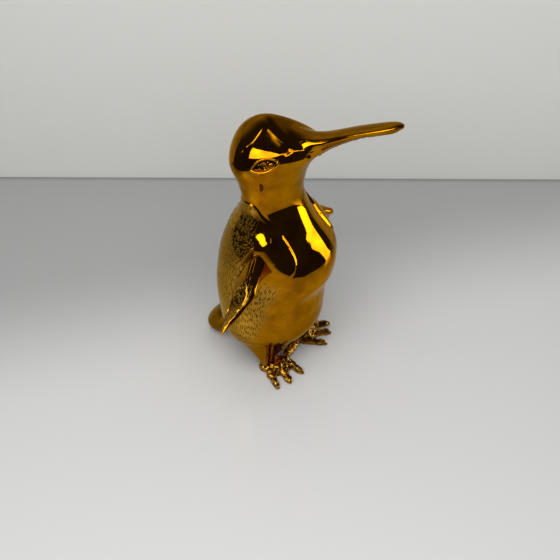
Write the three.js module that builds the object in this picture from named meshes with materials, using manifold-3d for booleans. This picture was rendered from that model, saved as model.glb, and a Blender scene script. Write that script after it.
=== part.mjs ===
// Brass penguin figure with a raised bill, as brazed castings. Millimetres, +Z up, the bill points along +X.

import * as THREE from 'three';
import { mergeVertices } from 'three/addons/utils/BufferGeometryUtils.js';
import Module from 'manifold-3d';

const wasm = await Module();
wasm.setup();

// Castings and their joints. The body's floor is thicker towards the rump, where it holds the studs and pegs.
const WALL = 3;
const FLOOR_EXTRA = 3;
const CLEARANCE = 0.3;
const LIP_DEPTH = 5;
const LIP_WALL = 2.2;

// Half widths of the bird at its main places
const BODY_HALF_WIDTH = 31.5;
const BREAST_HALF_WIDTH = 29;
const NECK_HALF_WIDTH = 19.2;
const HEAD_HALF_WIDTH = 22;
const BILL_HALF_WIDTH = 4.7;

// Sections of the bird from under the belly to the bill tip. Each has its point on the back and its point
// on the front as [x, z], its half width, and how much fuller it is towards the front than the back.
const LINE = {
  vent: { back: [-12.5, 8], front: [-12.5, 8], half: 0, fuller: 0 },
  rump: { back: [-28, 11], front: [4, 13], half: 0.47 * BODY_HALF_WIDTH, fuller: 0 },
  hip: { back: [-35, 21.5], front: [14.5, 23.6], half: 0.93 * BODY_HALF_WIDTH, fuller: 0 },
  belly: { back: [-38, 38], front: [16.7, 37], half: BODY_HALF_WIDTH, fuller: 0 },
  waist: { back: [-39.2, 49], front: [17.8, 48], half: BODY_HALF_WIDTH, fuller: 0 },
  flank: { back: [-38.8, 59], front: [22.4, 58], half: 0.98 * BODY_HALF_WIDTH, fuller: 0 },
  breast: { back: [-36.9, 71], front: [22.4, 71], half: BREAST_HALF_WIDTH, fuller: 0 },
  shoulder: { back: [-31.5, 85], front: [11, 87], half: 0.82 * BREAST_HALF_WIDTH, fuller: 0 },
  neck: { back: [-24.6, 98], front: [5, 100.5], half: NECK_HALF_WIDTH, fuller: 0 },
  throat: { back: [-26.5, 109], front: [6, 112], half: 1.03 * NECK_HALF_WIDTH, fuller: 0 },
  cheek: { back: [-31.3, 121], front: [9.5, 121], half: HEAD_HALF_WIDTH, fuller: 0 },
  eye: { back: [-27, 135], front: [14, 127.5], half: 0.86 * HEAD_HALF_WIDTH, fuller: 0.1 },
  crown: { back: [-14, 143.2], front: [17, 130.5], half: 0.5 * HEAD_HALF_WIDTH, fuller: 0.35 },
  forehead: { back: [1, 139.6], front: [20, 133.3], half: 0.33 * HEAD_HALF_WIDTH, fuller: 0.3 },
  billRoot: { back: [14.5, 140.4], front: [25.5, 137.3], half: 1.3 * BILL_HALF_WIDTH, fuller: 0.2 },
  billMiddle: { back: [36, 149.6], front: [38, 144.1], half: BILL_HALF_WIDTH, fuller: 0.2 },
  billEnd: { back: [51, 155.4], front: [52, 149.5], half: 0.8 * BILL_HALF_WIDTH, fuller: 0.1 },
  billNose: { back: [57, 156], front: [56.4, 153.4], half: 0.38 * BILL_HALF_WIDTH, fuller: 0 },
  billTip: { back: [57.5, 154.5], front: [57.5, 154.5], half: 0, fuller: 0 },
};
const STATIONS = Object.keys(LINE);
const HIP = STATIONS.indexOf('hip');
const NECK = STATIONS.indexOf('neck');
const EYE_LINE = STATIONS.indexOf('eye');
const BILL_ROOT = STATIONS.indexOf('billRoot');
const BILL_TIP = STATIONS.indexOf('billTip');

// Legs: from a round ankle, cut on a slope, up into a patch of the belly round a place on it
const ANKLE_X = -4;
const ANKLE_Y = 0.59 * BODY_HALF_WIDTH;
const ANKLE_Z = 5;
const ANKLE_RADIUS = 3.6;
const ANKLE_SLOPE = 0.33;
const PATCH_STATION = 1.3;
const PATCH_REACH = 0.7;
const PATCH_ROUND = 73;
const PATCH_SPREAD = 47;
const LEG_SINK = 0.5;
const THIGH_REACH = 7;
const SHIN_REACH = 9;

// Feet: one casting of two feet with a bridge between them, and a stud up into each leg. The root and the tip
// of each toe are given as [x, y] on the ground.
const TOES = {
  inner: { root: [1, 9.5], tip: [16.3, 14.4] },
  middle: { root: [1, 15], tip: [13.9, 24.4] },
  outer: { root: [-3.5, 19.5], tip: [10, 31.3] },
};
const TOE_HALF_WIDTH = 2;
const TOE_HALF_HEIGHT = 2.5;
const TOE_SHAPE = [
  { reach: 0, size: 1.15 },
  { reach: 0.4, size: 1.1 },
  { reach: 0.72, size: 0.9 },
  { reach: 0.94, size: 0.55 },
  { reach: 1, size: 0.2 },
];
const INSTEP_X = 1.5;
const INSTEP_IN = 2.8;
const INSTEP_RADIUS = 6.8;
const INSTEP_HEIGHT = 6.8;
const HEEL_RADIUS = 4.1;
const BRIDGE_X = 1.1;
const BRIDGE_Z = 2.6;
const BRIDGE_RADIUS = 2.8;
const STUD_RADIUS = 1.8;
const STUD_TOP = 13;

// Wings: blades between a rear edge and a front edge, on the bird's left side. Each edge point is given as
// [x, distance out from the shoulder's half width, z].
const WING = {
  root: { rear: [-15, -1.8, 71.5], front: [-2, -6.8, 84.5], thick: 9 },
  shoulder: { rear: [-13, 5.2, 69], front: [-0.6, -0.3, 80.5], thick: 8.5 },
  elbow: { rear: [-11, 14.2, 67], front: [1.6, 13.2, 71.5], thick: 6.4 },
  wrist: { rear: [-9.4, 21.2, 63], front: [3, 20.2, 67.2], thick: 4.6 },
  blade: { rear: [-9.3, 27.2, 57], front: [0.8, 27.2, 62.6], thick: 3.4 },
  end: { rear: [-9, 32.2, 52.5], front: [-2.6, 34.2, 58.2], thick: 2.2 },
  tip: { rear: [-7.6, 34.7, 50.5], front: [-4.8, 38.6, 55], thick: 1 },
};
const WING_TENON_LENGTH = 8;
const WING_TENON_THICK = 3.6;
const WING_TENON_REACH = 8;

// Tail: a short blunt lump that rests on the ground, with its places on the middle plane as [x, z]
const TAIL = {
  root: { at: [-27, 25], wide: 10, thick: 8 },
  back: { at: [-37, 13.8], wide: 10.2, thick: 7.8 },
  heel: { at: [-44.5, 5.4], wide: 7.8, thick: 6.8 },
  sole: { at: [-47, 1.5], wide: 4.6, thick: 4.6 },
  end: { at: [-48, -0.5], wide: 3, thick: 2.2 },
};
const TAIL_PEG_RADIUS = 2;
const TAIL_PEG_SPACING = 9;
const TAIL_PEG_LENGTH = 12;

// Eyes: almond domes inside raised lids
const EYE_STATION = EYE_LINE - 0.32;
const EYE_ROUND = 77;
const EYE_LENGTH = 13.4;
const EYE_HEIGHT = 4.4;
const EYE_TILT = 28;
const EYE_SEAT = 1.4;
const EYE_BULGE = 0.6;
const LID_RADIUS = 0.65;

// Mouth corners: a small round pit behind each end of the mouth line
const PIT_STATION = BILL_ROOT - 1.8;
const PIT_ROUND = 39;
const PIT_RADIUS = 1.1;

// Stations at which the meshed sections of the torso, head and bill begin and end
const BELLY_START = 0.12;
const HEAD_START = 0.2;
const BILL_END = 0.1;

// Rings and facets of the curved surfaces
const BODY_RINGS = 24;
const BODY_FACETS = 32;
const HOLLOW_RINGS = 14;
const HEAD_RINGS = 30;
const INNER_FACETS = 20;
const LEG_FACETS = 24;
const LEG_STEPS = 8;
const WING_FACETS = 16;
const WING_STEPS = 16;
const TAIL_FACETS = 18;
const TAIL_STEPS = 12;
const TOE_FACETS = 12;
const TOE_STEPS = 9;
const INSTEP_FACETS = 12;
const PEG_FACETS = 16;
const LID_STEPS = 28;
const LID_FACETS = 6;
const DOME_FACETS = 40;
const PIT_FACETS = 10;

const radians = THREE.MathUtils.degToRad;

/** Smooth curve through four rows of numbers, between the second and the third. */
function throughRows(p0, p1, p2, p3, t) {
  return p1.map((value, k) => {
    const leave = (p2[k] - p0[k]) / 2;
    const arrive = (p3[k] - p1[k]) / 2;
    const a = 2 * value - 2 * p2[k] + leave + arrive;
    const b = -3 * value + 3 * p2[k] - 2 * leave - arrive;
    return ((a * t + b) * t + leave) * t + value;
  });
}

/** Values at place t on a smooth curve through all rows. The ends carry on past the given rows. */
function alongRows(rows, before, after, t) {
  const all = [before, ...rows, after];
  const i = Math.min(Math.floor(t), rows.length - 2);
  return throughRows(all[i], all[i + 1], all[i + 2], all[i + 3], t - i);
}

const lineRows = Object.values(LINE).map(({ back, front, half, fuller }) => {
  return [...back, ...front, half, fuller];
});

/** The row beyond a closed end: its neighbour turned over, so that the end is rounded. */
function turnedOver([backX, backZ, frontX, frontZ, half, fuller]) {
  return [frontX, frontZ, backX, backZ, -half, fuller];
}

/** The back point, front point, half width and fullness of the bird at station t. */
function rowAt(t) {
  return alongRows(lineRows, turnedOver(lineRows[1]), turnedOver(lineRows.at(-2)), t);
}

/** One section across the bird at station t, smaller all round by the inset. */
function section(t, inset, facets) {
  const [backX, backZ, frontX, frontZ, half, fuller] = rowAt(t);
  const centre = new THREE.Vector3((backX + frontX) / 2, 0, (backZ + frontZ) / 2);
  const forward = new THREE.Vector3((frontX - backX) / 2, 0, (frontZ - backZ) / 2);
  forward.setLength(forward.length() - inset);
  return Array.from({ length: facets }, (_, k) => {
    const angle = (2 * Math.PI * k) / facets;
    const side = (half - inset) * Math.sin(angle) * (1 + fuller * Math.cos(angle));
    return centre.clone().addScaledVector(forward, Math.cos(angle)).setY(side);
  });
}

/** Evenly spaced stations from one place on the line to another. */
function stations(from, to, count) {
  return Array.from({ length: count + 1 }, (_, k) => from + ((to - from) * k) / count);
}

/** The middle of some points. */
function middleOf(points) {
  return points.reduce((sum, point) => sum.add(point), new THREE.Vector3()).divideScalar(points.length);
}

/** Closed surface through rings of points. A run with ends is filled there from the ring's middle. */
function skin(rings, endless = false) {
  const facets = rings[0].length;
  const points = rings.flat();
  const index = [];
  const spans = endless ? rings.length : rings.length - 1;
  for (let i = 0; i < spans; i += 1) {
    const low = i * facets;
    const high = ((i + 1) % rings.length) * facets;
    for (let k = 0; k < facets; k += 1) {
      const next = (k + 1) % facets;
      index.push(low + k, low + next, high + next, low + k, high + next, high + k);
    }
  }
  if (!endless) {
    const low = points.length;
    const high = low + 1;
    const lastRing = (rings.length - 1) * facets;
    points.push(middleOf(rings[0]), middleOf(rings.at(-1)));
    for (let k = 0; k < facets; k += 1) {
      const next = (k + 1) % facets;
      index.push(low, next, k, high, lastRing + k, lastRing + next);
    }
  }
  const geometry = new THREE.BufferGeometry().setFromPoints(points);
  geometry.setIndex(index);
  return geometry;
}

/** Volume inside a surface, negative where its faces look inwards. */
function signedVolume(position, index) {
  const [a, b, c] = [new THREE.Vector3(), new THREE.Vector3(), new THREE.Vector3()];
  let sum = 0;
  for (let i = 0; i < index.length; i += 3) {
    a.fromBufferAttribute(position, index[i]);
    b.fromBufferAttribute(position, index[i + 1]);
    c.fromBufferAttribute(position, index[i + 2]);
    sum += a.dot(b.cross(c));
  }
  return sum / 6;
}

/** A solid from a closed surface, with its faces turned outwards. */
function solid(geometry) {
  const plain = geometry.clone();
  plain.deleteAttribute('normal');
  plain.deleteAttribute('uv');
  const merged = mergeVertices(plain);
  const triVerts = Uint32Array.from(merged.index.array);
  if (signedVolume(merged.attributes.position, triVerts) < 0) {
    triVerts.reverse();
  }
  const vertProperties = Float32Array.from(merged.attributes.position.array);
  return new wasm.Manifold(new wasm.Mesh({ numProp: 3, vertProperties, triVerts }));
}

/** All the given solids as one. */
function joined(solids) {
  return solids.reduce((whole, piece) => whole.add(piece));
}

/** The same solid on the other side of the bird. */
function mirrored(piece) {
  return piece.mirror([0, 1, 0]);
}

/** The torso's outside, from under the belly to the neck joint, larger all round by the growth. */
function torso(growth = 0) {
  return solid(skin(stations(BELLY_START, NECK, BODY_RINGS).map((t) => section(t, -growth, BODY_FACETS))));
}

/** Rings from one rail to another along smooth rows of [rail point, other rail point, half thickness]. */
function betweenRails(rows, steps, facets) {
  const before = rows[0].map((value, k) => 2 * value - rows[1][k]);
  const after = rows.at(-1).map((value, k) => 2 * value - rows.at(-2)[k]);
  const last = rows.length - 1;
  const small = 0.01;
  const railsAt = (t) => {
    const [ax, ay, az, bx, by, bz, depth] = alongRows(rows, before, after, t);
    const side = new THREE.Vector3(bx - ax, by - ay, bz - az).divideScalar(2);
    return { centre: new THREE.Vector3(ax + bx, ay + by, az + bz).divideScalar(2), side, depth };
  };
  return stations(0, last, steps).map((t) => {
    const { centre, side, depth } = railsAt(t);
    const ahead = railsAt(Math.min(t + small, last)).centre;
    const behind = railsAt(Math.max(t - small, 0)).centre;
    const face = ahead.sub(behind).cross(side).normalize();
    return Array.from({ length: facets }, (_, k) => {
      const angle = (2 * Math.PI * k) / facets;
      const point = centre.clone().addScaledVector(side, Math.cos(angle));
      return point.addScaledVector(face, depth * Math.sin(angle));
    });
  });
}

/** The two rails of a limb that is as wide across as it is given, at one place on it. */
function railsAbout(place, across, half, depth) {
  const low = place.clone().addScaledVector(across, -half);
  const high = place.clone().addScaledVector(across, half);
  return [...low.toArray(), ...high.toArray(), depth];
}

/** A round bar from one point to another. */
function bar(from, to, radius, facets = PEG_FACETS) {
  const length = from.distanceTo(to);
  const geometry = new THREE.CylinderGeometry(radius, radius, length, facets);
  const turn = new THREE.Quaternion().setFromUnitVectors(
    new THREE.Vector3(0, 1, 0),
    to.clone().sub(from).normalize(),
  );
  geometry.applyQuaternion(turn);
  geometry.translate(...from.clone().add(to).divideScalar(2).toArray());
  return solid(geometry);
}

/** Everything above the ground, for cutting soles flat. */
function aboveGround() {
  const size = 400;
  const block = new THREE.BoxGeometry(size, size, size);
  block.translate(0, 0, size / 2);
  return solid(block);
}

/** Place on the edge of a leg's patch of the belly, and the way from there over the belly to its middle. */
function hipPlace(angle, growth) {
  const place = (share) => {
    const t = PATCH_STATION + share * PATCH_REACH * Math.sin(angle);
    const round = radians(PATCH_ROUND - share * PATCH_SPREAD * Math.cos(angle));
    return surfacePoint(t, round).addScaledVector(outwardAt(t, round), growth - LEG_SINK);
  };
  const step = 0.05;
  return { hip: place(1), inwards: place(1 - step).sub(place(1 + step)).normalize() };
}

/** Place on the sloped round ankle at an angle round it. */
function anklePlace(angle, growth) {
  const forward = (ANKLE_RADIUS + growth) * Math.cos(angle);
  const side = (ANKLE_RADIUS + growth) * Math.sin(angle);
  return new THREE.Vector3(ANKLE_X + forward, ANKLE_Y + side, ANKLE_Z - growth + ANKLE_SLOPE * forward);
}

/** One leg that runs smoothly out of the belly into its ankle, on the left side, larger by the growth. */
function leg(growth = 0) {
  const shin = new THREE.Vector3(0, 0, -SHIN_REACH);
  const rings = stations(0, 1, LEG_STEPS).map((s) =>
    Array.from({ length: LEG_FACETS }, (_, k) => {
      const angle = (2 * Math.PI * k) / LEG_FACETS;
      const { hip, inwards } = hipPlace(angle, growth);
      const point = hip.multiplyScalar((1 + 2 * s) * (1 - s) ** 2);
      point.addScaledVector(inwards, THIGH_REACH * s * (1 - s) ** 2);
      point.addScaledVector(anklePlace(angle, growth), s * s * (3 - 2 * s));
      return point.addScaledVector(shin, s * s * (s - 1));
    }),
  );
  return solid(skin(rings));
}

/** The foot's stud, or its bore in the leg when it has room all round. */
function stud(room = 0) {
  const bottom = new THREE.Vector3(ANKLE_X, ANKLE_Y, TOE_HALF_HEIGHT - room);
  const top = new THREE.Vector3(ANKLE_X, ANKLE_Y, STUD_TOP + room);
  return bar(bottom, top, STUD_RADIUS + room);
}

/** The hollow of the body, from its thick floor to above the neck opening. */
function bodyHollow() {
  const floorStation = STATIONS.indexOf('rump');
  const rings = stations(floorStation, NECK, HOLLOW_RINGS).map((t) => {
    const inset = WALL + FLOOR_EXTRA * Math.max(0, HIP - t);
    return section(t, inset, INNER_FACETS);
  });
  const opening = rings.at(-1).map((point) => point.clone().addScaledVector(neckAxis(), WALL));
  return solid(skin([...rings, opening]));
}

/** Direction of the neck at its joint, up and square to the section there. */
function neckAxis() {
  const { back, front } = LINE.neck;
  return new THREE.Vector3(back[1] - front[1], 0, front[0] - back[0]).normalize();
}

/** A point of the wing's edge, from its distance out from the shoulder. */
function fromShoulder([x, out, z]) {
  return new THREE.Vector3(x, LINE.shoulder.half + out, z);
}

/** The wing's tenon, or its slot in the body when it has room all round. */
function wingTenon(room = 0) {
  const [shoulder, elbow] = [WING.shoulder, WING.elbow].map(({ rear, front }) => {
    const [low, high] = [fromShoulder(rear), fromShoulder(front)];
    return { side: high.clone().sub(low).normalize(), centre: middleOf([low, high]) };
  });
  const out = elbow.centre.clone().sub(shoulder.centre).normalize();
  const half = WING_TENON_LENGTH / 2 + room;
  const rows = [-WING_TENON_REACH - room, WING_TENON_REACH / 2 + room].map((reach) => {
    const centre = shoulder.centre.clone().addScaledVector(out, reach);
    return railsAbout(centre, shoulder.side, half, WING_TENON_THICK / 2 + room);
  });
  return solid(skin(betweenRails(rows, 1, WING_FACETS)));
}

/** A point of the middle plane. */
function onMiddlePlane([x, z]) {
  return new THREE.Vector3(x, 0, z);
}

/** Pegs of the tail, or their holes in the body when they have room all round. */
function tailPegs(room = 0) {
  const [root, back] = [TAIL.root, TAIL.back].map(({ at }) => onMiddlePlane(at));
  const inwards = root.clone().sub(back).normalize();
  return [-1, 1].map((side) => {
    const outer = back.clone().setY((side * TAIL_PEG_SPACING) / 2);
    const inner = outer.clone().addScaledVector(inwards, TAIL_PEG_LENGTH + room);
    return bar(inner, outer, TAIL_PEG_RADIUS + room);
  });
}

/** A point of the outer surface at a station and an angle round it, with its outward direction. */
function surfacePoint(t, angle) {
  const [backX, backZ, frontX, frontZ, half, fuller] = rowAt(t);
  const swing = (1 + Math.cos(angle)) / 2;
  return new THREE.Vector3(
    backX + (frontX - backX) * swing,
    half * Math.sin(angle) * (1 + fuller * Math.cos(angle)),
    backZ + (frontZ - backZ) * swing,
  );
}

/** Outward direction of the outer surface at a station and an angle round it. */
function outwardAt(t, angle) {
  const step = 0.01;
  const along = surfacePoint(t + step, angle).sub(surfacePoint(t - step, angle));
  const round = surfacePoint(t, angle + step).sub(surfacePoint(t, angle - step));
  return round.cross(along).normalize();
}

/** Frame of the left eye: its long axis, its short axis, outwards, and its centre. */
function eyeFrame() {
  const angle = radians(EYE_ROUND);
  const out = outwardAt(EYE_STATION, angle);
  const tilt = radians(EYE_TILT);
  const level = new THREE.Vector3(Math.cos(tilt), 0, Math.sin(tilt));
  const long = level.addScaledVector(out, -level.dot(out)).normalize();
  const short = out.clone().cross(long);
  return new THREE.Matrix4().makeBasis(long, short, out).setPosition(surfacePoint(EYE_STATION, angle));
}

/** Almond outline of two equal arcs, of the given length and height, in order round it. */
function almond(length, height, steps) {
  const radius = (length * length + height * height) / (4 * height);
  const reach = Math.asin(length / 2 / radius);
  const points = [];
  for (const side of [1, -1]) {
    for (let k = 0; k < steps / 2; k += 1) {
      const angle = reach * (1 - (4 * k) / steps) * side;
      const rise = radius * Math.cos(angle) - radius + height / 2;
      points.push(new THREE.Vector2(radius * Math.sin(angle), side * rise));
    }
  }
  return points;
}

/** Upright block with an almond outline, from one level to another in the eye's frame. */
function almondBlock(length, height, low, high) {
  const shape = new THREE.Shape(almond(length, height, LID_STEPS));
  const geometry = new THREE.ExtrudeGeometry(shape, { depth: high - low, bevelEnabled: false });
  geometry.translate(0, 0, low);
  geometry.applyMatrix4(eyeFrame());
  return solid(geometry);
}

/** How far the head's surface falls away below the eye's frame at a place in it. */
function fallAt(x, y) {
  const frame = eyeFrame();
  const inverse = frame.clone().invert();
  const place = (t, angle) => surfacePoint(t, angle).applyMatrix4(inverse);
  const step = 0.01;
  const tries = 8;
  let t = EYE_STATION;
  let angle = radians(EYE_ROUND);
  for (let turn = 0; turn < tries; turn += 1) {
    const here = place(t, angle);
    const byT = place(t + step, angle).sub(here).divideScalar(step);
    const byAngle = place(t, angle + step).sub(here).divideScalar(step);
    const det = byT.x * byAngle.y - byT.y * byAngle.x;
    const missX = x - here.x;
    const missY = y - here.y;
    t += (missX * byAngle.y - missY * byAngle.x) / det;
    angle += (byT.x * missY - byT.y * missX) / det;
  }
  return place(t, angle).z;
}

/** Raised lid: a round bead on the head's surface along an almond. */
function lid() {
  const bead = 2 * LID_RADIUS;
  const outline = almond(EYE_LENGTH + bead, EYE_HEIGHT + bead, LID_STEPS);
  const centre = outline.map(({ x, y }) => new THREE.Vector3(x, y, fallAt(x, y)));
  const rings = centre.map((point, k) => {
    const ahead = centre[(k + 1) % centre.length];
    const behind = centre.at(k - 1);
    const tangent = ahead.clone().sub(behind).normalize();
    const side = new THREE.Vector3(0, 0, 1).cross(tangent).normalize();
    const up = tangent.clone().cross(side);
    return Array.from({ length: LID_FACETS }, (_, j) => {
      const angle = (2 * Math.PI * j) / LID_FACETS;
      const place = point.clone().addScaledVector(side, LID_RADIUS * Math.cos(angle));
      return place.addScaledVector(up, LID_RADIUS * Math.sin(angle));
    });
  });
  const geometry = skin(rings, true);
  geometry.applyMatrix4(eyeFrame());
  return solid(geometry);
}

/** One eye: an almond block under a dome, seated in the head. */
function eye() {
  const half = EYE_LENGTH / 2 - CLEARANCE;
  const fall = -fallAt(half, 0);
  const dome = fall + EYE_BULGE;
  const radius = (half * half + dome * dome) / (2 * dome);
  const ball = new THREE.SphereGeometry(radius, DOME_FACETS, DOME_FACETS);
  ball.translate(0, 0, EYE_BULGE - radius);
  ball.applyMatrix4(eyeFrame());
  const low = -fall - EYE_SEAT + CLEARANCE;
  const block = almondBlock(EYE_LENGTH - 2 * CLEARANCE, EYE_HEIGHT - 2 * CLEARANCE, low, 2 * EYE_BULGE);
  return block.intersect(solid(ball));
}

/** Pocket for one eye. */
function eyeSocket() {
  const fall = -fallAt(EYE_LENGTH / 2 - CLEARANCE, 0);
  return almondBlock(EYE_LENGTH, EYE_HEIGHT, -fall - EYE_SEAT, 2 * EYE_BULGE);
}

/** Small round pit at one corner of the mouth. */
function mouthPit() {
  const ball = new THREE.SphereGeometry(PIT_RADIUS, PIT_FACETS, PIT_FACETS);
  ball.translate(...surfacePoint(PIT_STATION, radians(PIT_ROUND)).toArray());
  return solid(ball);
}

/** Hollow torso with both legs, open at the neck. */
function bodyShell() {
  const outside = joined([torso(), leg(), mirrored(leg())]);
  const openings = [stud(CLEARANCE), wingTenon(CLEARANCE)].flatMap((piece) => [piece, mirrored(piece)]);
  return outside.subtract(joined([bodyHollow(), ...openings, ...tailPegs(CLEARANCE)]));
}

/** Straight lip of the head inside the neck opening, smaller than the neck by the inset. */
function neckTube(inset, low, high) {
  const ring = section(NECK, inset, INNER_FACETS);
  const ringAt = (level) => ring.map((point) => point.clone().addScaledVector(neckAxis(), level));
  return solid(skin([ringAt(low), ringAt(high)]));
}

/** Hollow neck and head with the bill, the lids and the lip for the neck joint. */
function headShell() {
  const edge = section(NECK, 0, BODY_FACETS).map((point) => point.addScaledVector(neckAxis(), CLEARANCE));
  const places = stations(NECK + HEAD_START, BILL_TIP - BILL_END, HEAD_RINGS);
  const outside = solid(skin([edge, ...places.map((t) => section(t, 0, BODY_FACETS))]));
  const lip = neckTube(WALL + CLEARANCE, -LIP_DEPTH, WALL);
  const thickest = WALL + CLEARANCE + LIP_WALL;
  const bore = neckTube(thickest, -2 * LIP_DEPTH, 2 * WALL);
  const insets = [thickest, WALL, WALL, WALL, WALL, 2 * WALL];
  const hollowRings = stations(NECK + HEAD_START, EYE_LINE + HEAD_START, insets.length - 1).map((t, k) =>
    section(t, insets[k], INNER_FACETS),
  );
  const sides = [eyeSocket(), mouthPit()].flatMap((piece) => [piece, mirrored(piece)]);
  const whole = joined([outside, lip, lid(), mirrored(lid())]);
  return whole.subtract(joined([solid(skin(hollowRings)), bore, ...sides]));
}

/** Left wing: a blade that meets the body, with its tenon. */
function wing() {
  const rows = Object.values(WING).map(({ rear, front, thick }) => {
    return [...fromShoulder(rear).toArray(), ...fromShoulder(front).toArray(), thick / 2];
  });
  const blade = solid(skin(betweenRails(rows, WING_STEPS, WING_FACETS)));
  return blade.subtract(torso(CLEARANCE)).add(wingTenon());
}

/** Tail lump behind the body, with its pegs and a flat under side. */
function tail() {
  const across = new THREE.Vector3(0, 1, 0);
  const rows = Object.values(TAIL).map(({ at, wide, thick }) => {
    return railsAbout(onMiddlePlane(at), across, wide, thick);
  });
  const lump = solid(skin(betweenRails(rows, TAIL_STEPS, TAIL_FACETS)));
  const outside = lump.subtract(torso(CLEARANCE)).intersect(aboveGround());
  return joined([outside, ...tailPegs()]);
}

/** One toe along the ground from its root, thick at the instep and blunt at the tip. */
function toe({ root, tip }) {
  const [from, to] = [root, tip].map(([x, y]) => new THREE.Vector3(x, y, 0));
  const direction = to.clone().sub(from).normalize();
  const across = new THREE.Vector3(-direction.y, direction.x, 0);
  const rows = TOE_SHAPE.map(({ reach, size }) => {
    const depth = TOE_HALF_HEIGHT * size;
    const place = from.clone().lerp(to, reach).setZ(depth / 2);
    return railsAbout(place, across, TOE_HALF_WIDTH * size, depth);
  });
  return solid(skin(betweenRails(rows, TOE_STEPS, TOE_FACETS)));
}

/** Left foot: heel, instep and three toes. */
function foot() {
  const tall = 2 * INSTEP_HEIGHT;
  const heel = new THREE.CylinderGeometry(ANKLE_RADIUS, HEEL_RADIUS, tall, LEG_FACETS);
  heel.rotateX(Math.PI / 2);
  heel.translate(ANKLE_X, ANKLE_Y, 0);
  const instep = new THREE.SphereGeometry(1, INSTEP_FACETS, INSTEP_FACETS);
  instep.scale(INSTEP_RADIUS, INSTEP_RADIUS, INSTEP_HEIGHT);
  instep.translate(INSTEP_X, ANKLE_Y - INSTEP_IN, 0);
  return joined([solid(heel), solid(instep), ...Object.values(TOES).map(toe)]);
}

/** Both feet in one casting with a bridge between them, under the legs, with flat soles and studs. */
function feet() {
  const right = new THREE.Vector3(BRIDGE_X, -ANKLE_Y, BRIDGE_Z);
  const left = right.clone().setY(ANKLE_Y);
  const whole = joined([foot(), mirrored(foot()), bar(right, left, BRIDGE_RADIUS, TOE_FACETS)]);
  const room = joined([leg(CLEARANCE), mirrored(leg(CLEARANCE)), torso(CLEARANCE)]);
  return joined([whole.subtract(room).intersect(aboveGround()), stud(), mirrored(stud())]);
}

// Brass in three finishes
const polished = { color: 0xb8802a, roughness: 0.12, metalness: 1 };
const chased = { color: 0xa5742c, roughness: 0.28, metalness: 1 };
const cast = { color: 0x6e5226, roughness: 0.5, metalness: 1 };

/** Geometry of a finished solid. */
function geometryOf(piece) {
  const { vertProperties, triVerts } = piece.getMesh();
  const geometry = new THREE.BufferGeometry();
  geometry.setAttribute('position', new THREE.BufferAttribute(vertProperties, 3));
  geometry.setIndex(new THREE.BufferAttribute(triVerts, 1));
  geometry.computeVertexNormals();
  return geometry;
}

const pieces = {
  body_shell: [bodyShell(), chased],
  head_shell: [headShell(), polished],
  wing_left: [wing(), chased],
  wing_right: [mirrored(wing()), chased],
  tail: [tail(), chased],
  feet: [feet(), cast],
  eye_left: [eye(), polished],
  eye_right: [mirrored(eye()), polished],
};

const group = new THREE.Group();
for (const [name, [piece, finish]] of Object.entries(pieces)) {
  const mesh = new THREE.Mesh(geometryOf(piece), new THREE.MeshStandardMaterial(finish));
  mesh.name = name;
  group.add(mesh);
}

// The frame's origin is under the middle of the whole figure's box
const box = new THREE.Box3().setFromObject(group);
const middle = box.getCenter(new THREE.Vector3());
for (const mesh of group.children) {
  mesh.geometry.translate(-middle.x, -middle.y, -box.min.z);
}

export default group;
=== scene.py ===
# Brass penguin figure with a raised bill: the finish and the fine form of each casting.

import bmesh
import bpy
import numpy as np
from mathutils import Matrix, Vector


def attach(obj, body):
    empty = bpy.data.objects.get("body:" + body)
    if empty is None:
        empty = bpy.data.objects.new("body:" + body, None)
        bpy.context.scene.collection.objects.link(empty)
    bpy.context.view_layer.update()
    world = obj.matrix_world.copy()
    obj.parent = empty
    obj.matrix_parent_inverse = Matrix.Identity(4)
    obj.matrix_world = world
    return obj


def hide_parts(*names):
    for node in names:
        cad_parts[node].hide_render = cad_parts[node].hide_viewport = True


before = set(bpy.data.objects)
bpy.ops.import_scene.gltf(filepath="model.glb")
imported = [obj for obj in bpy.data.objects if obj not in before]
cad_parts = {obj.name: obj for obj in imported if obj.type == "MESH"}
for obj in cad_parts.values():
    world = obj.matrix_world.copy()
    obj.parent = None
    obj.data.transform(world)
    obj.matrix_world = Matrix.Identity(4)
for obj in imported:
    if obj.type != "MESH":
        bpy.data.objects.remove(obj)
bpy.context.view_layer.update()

# Body casting
# The torso and both legs are one hollow brass casting, brazed to the head round the neck. The founder left
# the belly smooth, chased short feather strokes over the back, and polished and lacquered the whole in amber.

MM = 0.001
MIDDLE_X = 3.264  # from the bird's own axis to the middle of its box, in mm
NECK, BILL_TIP = 8, 18

# The bird's sections in mm, from under the belly to the bill's tip. Each row is a station.
LINE = np.array([
    # back x, back z, front x, front z, half width, fuller towards the front
    (-12.5, 8, -12.5, 8, 0, 0),
    (-28, 11, 4, 13, 14.8, 0),
    (-35, 21.5, 14.5, 23.6, 29.3, 0),
    (-38, 38, 16.7, 37, 31.5, 0),
    (-39.2, 49, 17.8, 48, 31.5, 0),
    (-38.8, 59, 22.4, 58, 30.9, 0),
    (-36.9, 71, 22.4, 71, 29, 0),
    (-31.5, 85, 11, 87, 23.8, 0),
    (-24.6, 98, 5, 100.5, 19.2, 0),
    (-26.5, 109, 6, 112, 19.8, 0),
    (-31.3, 121, 9.5, 121, 22, 0),
    (-27, 135, 14, 127.5, 18.9, 0.1),
    (-14, 143.2, 17, 130.5, 11, 0.35),
    (1, 139.6, 20, 133.3, 7.3, 0.25),
    (14.5, 140.4, 25.5, 137.4, 6.4, 0.05),
    (36, 149.2, 38, 144.8, 5.5, -0.22),
    (51, 155, 52, 150.2, 4.5, -0.3),
    (57, 156, 56.4, 153.4, 1.8, -0.2),
    (57.5, 154.5, 57.5, 154.5, 0, 0),
])


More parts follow.
